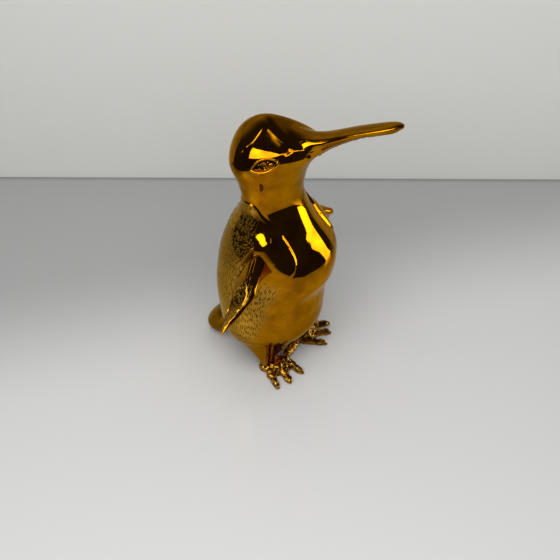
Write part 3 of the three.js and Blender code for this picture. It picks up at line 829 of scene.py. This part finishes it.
def wing_lift(t, a, chord, thick):
    """Height of the wing's faces in half thicknesses. The outer face climbs evenly from the rear edge to a
    crest, and rounds off to the front edge. A rolled lip closes its top, and a bead runs along its edges."""
    across = np.cos(a)
    crest = 0.3 + 0.4 * smooth(2, 4, t)
    rear = np.clip((crest - across) / (1 + crest), 0, 1)
    front = np.clip((across - crest) / (1 - crest), 0, 1)
    climb = (1 - rear**1.3) * np.sqrt(1 - front**2)
    from_front = (1 - across) / 2 * chord
    from_rear = (1 + across) / 2 * chord
    lip = 1.6 * hump((t - LIP) * LIP_ROW, 0.8) - 1.4 * hump((t - LIP_FOOT) * LIP_ROW, 1.2)
    lip = lip * (1 - smooth(0.5, 0.8, across)) * smooth(0, 1.5, from_rear)
    bead = 0.3 * hump(from_front - 0.9, 0.45) - 0.3 * hump(from_front - 1.9, 0.5)
    bead = bead * smooth(2, 3, t) * (1 - smooth(5.4, 6, t))
    bead = bead + 0.25 * hump(from_rear - 0.7, 0.4) * smooth(2.8, 3.6, t) * (1 - smooth(5.4, 6, t))
    outer = 1.15 * climb + (lip + bead) / thick
    return np.where(np.sin(a) > 0, np.sin(a), -outer)


for side, name in SIDES:
    rows = WING + [0, SHOULDER_Y, 0, 0, SHOULDER_Y, 0, 0]
    points, t, a = closed_blade(rows, WING_RINGS, WING_FACETS, wing_lift)
    place = on_blade(t, a, WING_HALF_WIDTH, WING_ROW) * [side, 1]
    wing_mask = smooth(1.5, 2.6, t) * (1 - smooth(0.75, 0.95, np.cos(a)))
    # Painted shade in the groove under each wing's rolled lip.
    lip_painted_shade = 0.97 * hump((t - LIP_SHADE) * LIP_ROW, 1) * (1 - smooth(0.4, 0.8, np.cos(a)))
    wing = casting(f"wing_casting_{name}", [(points * [1, side, 1], place, wing_mask, lip_painted_shade)])
    wing.data.materials.append(chased_brass)
    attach(wing, "root")
    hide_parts(f"wing_{name}")

# Tail
# The tail is a short solid lump, cast by itself and brazed to the rump. It rests on the ground behind the
# feet. It is chased only faintly, and painted shade darkens its whole colour by half.

TAIL_RINGS, TAIL_FACETS = 100, 120
TAIL_HALF_WIDTH = 12  # for the strokes on it
TAIL_ROW = 10
# The second number is painted shade, darkening the whole tail.
TAIL_CHASED, TAIL_SHADE = 0.2, 0.5
TAIL = np.array([
    # x, z, half width, half thickness
    (-27, 25, 10, 8),
    (-37, 13.8, 10.2, 7.8),
    (-44.5, 5.4, 7.8, 6.8),
    (-47, 1.5, 4.6, 4.6),
    (-48, -0.5, 3, 2.2),
])
rows = np.stack([
    TAIL[:, 0], -TAIL[:, 2], TAIL[:, 1], TAIL[:, 0], TAIL[:, 2], TAIL[:, 1], 2 * TAIL[:, 3],
], -1)
points, t, a = closed_blade(rows, TAIL_RINGS, TAIL_FACETS)
points[..., 2] = np.maximum(points[..., 2], 0)
place = on_blade(t, a, TAIL_HALF_WIDTH, TAIL_ROW)
tail = casting("tail_casting", [(points, place, TAIL_CHASED, TAIL_SHADE)])
tail.data.materials.append(chased_brass)
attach(tail, "root")
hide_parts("tail")

# Feet
# Both feet are one rough sand casting with a bridge between the insteps, fixed by a stud in each leg. It was
# left darker than the body.

TOES = np.array([
    # root x and y, tip x and y
    ((1, 9.5), (16.3, 14.4)),
    ((1, 15), (13.9, 24.4)),
    ((-3.5, 19.5), (10, 31.3)),
])
TOE_SHAPE = np.array([
    # share of its length, size there
    (0, 1.2),
    (0.2, 1.05),
    (0.4, 1.18),
    (0.62, 0.92),
    (0.78, 0.98),
    (0.94, 0.6),
    (1, 0.2),
])
TOE_RINGS, TOE_FACETS = 60, 40
TOE_HALF_WIDTH = 2
TOE_HALF_HEIGHT = 2.5


def toe_sheet(root, tip):
    """A toe: a blade along the ground from its root, round in section, thicker at two knuckles and drawn
    in at its claw."""
    way = np.array([*(tip - root), 0]) / np.linalg.norm(tip - root)
    across = np.array([-way[1], way[0], 0])
    reach, size = TOE_SHAPE.T
    middle = np.array([*root, 0]) + reach[:, None] * np.array([*(tip - root), 0])
    middle[:, 2] = TOE_HALF_HEIGHT * size / 2
    edge = TOE_HALF_WIDTH * size[:, None] * across
    rows = np.hstack([middle - edge, middle + edge, 2 * TOE_HALF_HEIGHT * size[:, None]])
    return closed_blade(rows, TOE_RINGS, TOE_FACETS)[0]


LUMP_RINGS, LUMP_FACETS = 32, 48


def lump(centre, radii):
    """A round lump: a sphere stretched to its three radii."""
    rise = np.linspace(-np.pi / 2, np.pi / 2, LUMP_RINGS)
    up, turn = np.meshgrid(rise, full_turn(LUMP_FACETS), indexing="ij")
    unit = np.stack([np.cos(up) * np.cos(turn), np.cos(up) * np.sin(turn), np.sin(up)], -1)
    return np.array(centre) + unit * radii


INSTEP_LUMPS = (
    # middle, radii
    ((1.5, 15.8, 0), (6.8, 6.8, 6.8)),
    ((-4, 18.6, 1.5), (4.1, 4.1, 5.5)),
    ((4, 13, 5), (3, 3.4, 2.6)),
    ((3, 19.4, 4), (2.8, 2.4, 2.4)),
    ((-1.5, 15, 5.2), (2.4, 2.4, 2.2)),
    ((5.6, 16.4, 3.6), (2.2, 2.6, 2)),
)
BRIDGE = ((1.1, 0, 2.6), (2.8, 12, 2.6))
foot_sheets = []
for side in (1, -1):
    for root, tip in TOES:
        foot_sheets.append(toe_sheet(root, tip) * [1, side, 1])
    for centre, radii in INSTEP_LUMPS:
        foot_sheets.append(lump(centre, radii) * [1, side, 1])
foot_sheets.append(lump(*BRIDGE))

CAST_DARK = "#352109"
CAST_BRIGHT = "#BC8A2E"

# Yellow brass as it left the sand mould, hardly filed. The pits of its grain, about 1.3 mm wide, stay dark,
# and handling has rubbed their crests bright.
cast_brass, shader = new_material("sand_cast_brass")
where = add(cast_brass, "ShaderNodeTexCoord")
grain = add(
    cast_brass,
    "ShaderNodeTexNoise",
    {"Vector": where.outputs["Object"], "Scale": 1 / (1.3 * MM), "Detail": 4, "Roughness": 0.6},
)
spots = add(
    cast_brass,
    "ShaderNodeMapRange",
    {"Value": grain.outputs["Fac"], "From Min": 0.38, "From Max": 0.56},
)
tint = add(
    cast_brass,
    "ShaderNodeMixRGB",
    {"Fac": spots.outputs["Result"], "Color1": colour(CAST_DARK), "Color2": colour(CAST_BRIGHT)},
)
bump = add(
    cast_brass,
    "ShaderNodeBump",
    {"Height": grain.outputs["Fac"], "Strength": 0.8, "Distance": 0.5 * MM},
)
cast_brass.node_tree.links.new(tint.outputs["Color"], shader.inputs["Base Color"])
cast_brass.node_tree.links.new(bump.outputs["Normal"], shader.inputs["Normal"])
shader.inputs["Metallic"].default_value = 1
shader.inputs["Roughness"].default_value = 0.22

# The toes and lumps melt into one skin, which then gets the unevenness of the mould.
SKIN_CELL = 0.4
feet = casting("feet_casting", [(points, None, 0.0, 0.0) for points in foot_sheets])
melt = feet.modifiers.new("melt", "REMESH")
melt.mode = "VOXEL"
melt.voxel_size = SKIN_CELL * MM
relax = feet.modifiers.new("relax", "SMOOTH")
relax.iterations = 6
melted = bpy.data.meshes.new_from_object(feet.evaluated_get(bpy.context.evaluated_depsgraph_get()))
feet.modifiers.clear()
feet.data = melted
corners = np.empty(3 * len(melted.vertices))
melted.vertices.foreach_get("co", corners)
corners = corners.reshape(-1, 3)
normals = np.empty_like(corners)
melted.vertices.foreach_get("normal", normals.ravel())
lumps = 0.22 * ripple(corners / MM, 4, seed=8) + 0.1 * ripple(corners / MM, 1.8, seed=9)
corners += normals * (lumps[:, None] * MM)
corners[:, 2] = np.maximum(corners[:, 2], 0)
melted.vertices.foreach_set("co", corners.ravel())
melted.update()
melted.shade_smooth()
melted.materials.clear()
melted.materials.append(cast_brass)
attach(feet, "root")
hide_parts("feet")

# Studio
# A pale glossy table top that ends at a pale wall, in soft even light. A dome stands for the unlit room that
# the brass mirrors, with its lit window and ceiling lamp.

# The line where the table top meets the wall, in metres.
SEAM = (Vector((-0.2646, 0.0690, 0)), Vector((0.0764, 0.2474, 0)))


def flat(name, corners):
    """A flat four-cornered stage piece."""
    mesh = bpy.data.meshes.new(name)
    mesh.from_pydata([tuple(corner) for corner in corners], [], [(0, 1, 2, 3)])
    plate = add_object(name, mesh)
    return plate


TABLE_HALF_WIDTH = 0.34
TABLE_REACH = 3
TABLE_WHITE = "#CFCFCE"
TABLE_SHADED = "#A7A8A8"
# Painted shade: a thin dark line along the foot of the wall.
SEAM_SHADE = "#878A8C"
SEAM_SHADE_WIDTH = 0.006
run = (SEAM[1] - SEAM[0]).normalized()
forward = Vector((run.y, -run.x, 0))

# White gloss board. Painted shade darkens it towards the wall and the left, and a thin line of painted shade
# runs along the wall.
table_top, shader = new_material("glossy_white_board")
where = add(table_top, "ShaderNodeTexCoord")
away = add(
    table_top,
    "ShaderNodeVectorMath",
    {0: where.outputs["Object"], 1: forward},
    operation="DOT_PRODUCT",
)
at_wall = SEAM[0].dot(forward)
aslant = add(
    table_top,
    "ShaderNodeVectorMath",
    {0: where.outputs["Object"], 1: Vector((1, -1, 0)).normalized()},
    operation="DOT_PRODUCT",
)
open_table = add(
    table_top,
    "ShaderNodeMapRange",
    {"Value": aslant.outputs["Value"], "From Min": -0.115, "From Max": 0.005},
    interpolation_type="SMOOTHSTEP",
)
off_seam_shade = add(
    table_top,
    "ShaderNodeMapRange",
    {"Value": away.outputs["Value"], "From Min": at_wall, "From Max": at_wall + SEAM_SHADE_WIDTH},
    interpolation_type="SMOOTHSTEP",
)
open_white = add(
    table_top,
    "ShaderNodeMixRGB",
    {"Fac": open_table.outputs["Result"], "Color1": colour(TABLE_SHADED), "Color2": colour(TABLE_WHITE)},
)
board = add(
    table_top,
    "ShaderNodeMixRGB",
    {"Fac": off_seam_shade.outputs["Result"], "Color1": colour(SEAM_SHADE), "Color2": open_white.outputs["Color"]},
)
table_top.node_tree.links.new(board.outputs["Color"], shader.inputs["Base Color"])
shader.inputs["Roughness"].default_value = 0.22
quarters = ((-1, -1), (1, -1), (1, 1), (-1, 1))
table = flat("table", [(x * TABLE_HALF_WIDTH, y * TABLE_REACH, 0) for x, y in quarters])
table.data.materials.append(table_top)

WALL_WHITE = "#DADAD6"
WALL_DIM = "#3A3834"
WALL_LEFT = 0.2  # how far it goes on past the left end of the line
WALL_RIGHT = 0.016
WALL_HEIGHT = 0.25

# Matt white paint. It shows only from the front. For mirrored rays its upper part is painted darker, a
# painted shade in what the brass mirrors.
wall_paint, shader = new_material("matt_white_paint")
path = add(wall_paint, "ShaderNodeLightPath")
where = add(wall_paint, "ShaderNodeTexCoord")
height = add(wall_paint, "ShaderNodeSeparateXYZ", {"Vector": where.outputs["Object"]})
upper = add(
    wall_paint,
    "ShaderNodeMapRange",
    {"Value": height.outputs["Z"], "From Min": 0.02, "From Max": 0.2, "To Min": 0.1, "To Max": 0.55},
)
dimmer = add(
    wall_paint,
    "ShaderNodeMath",
    {0: upper.outputs["Result"], 1: path.outputs["Is Glossy Ray"]},
    operation="MULTIPLY",
)
paint = add(
    wall_paint,
    "ShaderNodeMixRGB",
    {"Fac": dimmer.outputs["Value"], "Color1": colour(WALL_WHITE), "Color2": colour(WALL_DIM)},
)
wall_paint.node_tree.links.new(paint.outputs["Color"], shader.inputs["Base Color"])
shader.inputs["Roughness"].default_value = 0.8
facing = add(wall_paint, "ShaderNodeNewGeometry")
clear = add(wall_paint, "ShaderNodeBsdfTransparent")
one_sided = add(
    wall_paint,
    "ShaderNodeMixShader",
    {"Fac": facing.outputs["Backfacing"], 1: shader.outputs["BSDF"], 2: clear.outputs["BSDF"]},
)
output = wall_paint.node_tree.nodes["Material Output"]
wall_paint.node_tree.links.new(one_sided.outputs["Shader"], output.inputs["Surface"])
left = SEAM[0] - WALL_LEFT * run
right = SEAM[1] + WALL_RIGHT * run
up = Vector((0, 0, WALL_HEIGHT))
wall = flat("wall", [left, right, right + up, left + up])
wall.data.materials.append(wall_paint)

# Even grey light from all sides fills the shadows.
world = bpy.data.worlds.new("even_light")
bpy.context.scene.world = world
world.use_nodes = True
world.node_tree.nodes["Background"].inputs["Color"].default_value = (0.44, 0.44, 0.435, 1)


def towards(azimuth, elevation):
    """Unit vectors for directions in degrees: azimuth 0 is to the front of the table, 90 to the right."""
    around, rise = np.radians(azimuth), np.radians(elevation)
    return np.stack([np.cos(rise) * np.sin(around), -np.cos(rise) * np.cos(around), np.sin(rise)], -1)


def pane(azimuth, elevation, corners):
    """1 inside a bright pane and 0 outside: inside, a level line to the left crosses its sides an odd
    number of times."""
    crossed = np.zeros(azimuth.shape, bool)
    for (x1, y1), (x2, y2) in zip(corners, corners[1:] + corners[:1]):
        level = (y1 > elevation) != (y2 > elevation)
        at = x1 + (elevation - y1) / np.where(y1 == y2, 1, y2 - y1) * (x2 - x1)
        crossed ^= level & (azimuth > at)
    return crossed.astype(float)


def streak(ways, ends, reach):
    """1 along a thin bright edge between two directions, falling off over a reach in degrees."""
    first, last = towards(*np.array(ends, float).T)
    span = last - first
    share = np.clip((ways - first) @ span / (span @ span), 0, 1)
    gap = np.linalg.norm(ways - first - share[..., None] * span, axis=-1)
    return hump(np.degrees(gap), reach)


# Corners of the two bright panes, as azimuth and elevation in degrees.
CEILING_LAMP = [
    (-45, 17), (-28, 25), (-14, 39), (-1, 51), (12, 61), (-5, 64), (-24, 63), (-44, 57), (-59, 47),
]
SIDE_WINDOW = [
    (116, 24), (124, 23), (136, 18), (147, 14), (145, 3), (150, -10), (128, -8), (126, 6), (124, 17),
]
PANE_LIGHT = 6
BRIGHT_EDGES = (
    # corners, how far it falls off in degrees, brightness
    ([(-77, 57), (-71, 50), (-68, 35), (-68, 15)], 0.4, 8),
    ([(-71, 64), (-52, 70), (-17, 73)], 0.4, 3),
    ([(12, 62), (22, 62), (29, 54), (39, 60)], 1.2, 5),
)


def room(azimuth, elevation):
    """Brightness of the room towards a direction in degrees: unlit on the camera's side and above, and
    dimly lit low down on the far side, with a ceiling lamp, a side window and three thin bright edges."""
    ways = towards(azimuth, elevation)
    behind = np.maximum(smooth(-84, -112, azimuth), smooth(166, 176, azimuth))
    top = 72 - 14 * np.maximum(smooth(-115, -165, azimuth), smooth(0, 90, azimuth))
    light = 0.03 + 0.4 * behind * (1 - smooth(top - 40, top, elevation))
    light += PANE_LIGHT * (pane(azimuth, elevation, CEILING_LAMP) + pane(azimuth, elevation, SIDE_WINDOW))
    for line, reach, brightness in BRIGHT_EDGES:
        for first, last in zip(line, line[1:]):
            light = np.maximum(light, brightness * streak(ways, [first, last], reach))
    return light


# Only mirrored rays meet the dome. It shows in the brass, and hardly in the table top and the wall.
DOME_RADIUS = 5
DOME_FINE = 3  # facets in a degree

elevation, azimuth = np.meshgrid(
    np.linspace(-60, 90, 150 * DOME_FINE + 1),
    np.linspace(-180, 180, 360 * DOME_FINE + 1),
    indexing="ij",
)
dome_points = DOME_RADIUS * towards(azimuth, elevation)
mesh = bpy.data.meshes.new("room_dome")
rows, cols = elevation.shape
i, j = np.meshgrid(np.arange(rows - 1), np.arange(cols - 1), indexing="ij")
low = i * cols + j
faces = np.stack([low, low + 1, low + cols + 1, low + cols], -1).reshape(-1, 4)
mesh.from_pydata(dome_points.reshape(-1, 3).tolist(), [], faces.tolist())
mesh.attributes.new("light", "FLOAT", "POINT").data.foreach_set("value", room(azimuth, elevation).ravel())
dome = add_object("room_dome", mesh)
dome.visible_camera = False
dome.visible_diffuse = False
dome.visible_shadow = False

# Warm white light, as bright at each place of the dome as the room is there.
dim_room, shader = new_material("dim_room")
dim_room.cycles.emission_sampling = "NONE"
light = add(dim_room, "ShaderNodeAttribute", attribute_name="light")
glow = add(dim_room, "ShaderNodeEmission", {"Color": (1, 0.98, 0.93, 1), "Strength": light.outputs["Fac"]})
output = dim_room.node_tree.nodes["Material Output"]
dim_room.node_tree.links.new(glow.outputs["Emission"], output.inputs["Surface"])
mesh.materials.append(dim_room)

# The soft box hangs before the figure and lights the table and the wall. The brass doesn't mirror it,
# because the panes in the dome stand for what the real figure mirrors.
soft_box = bpy.data.lights.new("soft_box", "AREA")
soft_box.size = 0.5
soft_box.energy = 2.6
box = add_object("soft_box", soft_box)
box.location = (0.11, -0.285, 0.46)
box.rotation_euler = (box.location - Vector((0.05, 0, 0))).to_track_quat("Z", "Y").to_euler()
box.visible_camera = False
box.visible_glossy = False

# Camera
# It stands 0.61 m away, before the figure's right side and above it, and looks down at it.

CAMERA_AZIMUTH = np.radians(28.12)
CAMERA_ELEVATION = np.radians(36.73)
look = Vector((
    -np.sin(CAMERA_AZIMUTH) * np.cos(CAMERA_ELEVATION),
    np.cos(CAMERA_AZIMUTH) * np.cos(CAMERA_ELEVATION),
    -np.sin(CAMERA_ELEVATION),
))
camera_data = bpy.data.cameras.new("camera")
camera_data.lens = 70.71
camera_data.sensor_width = 36
camera = add_object("camera", camera_data)
camera.location = (0.2116, -0.4130, 0.3961)
camera.rotation_euler = look.to_track_quat("-Z", "Y").to_euler()
bpy.context.scene.camera = camera
bpy.context.scene.view_settings.view_transform = "Standard"

bpy.context.view_layer.update()
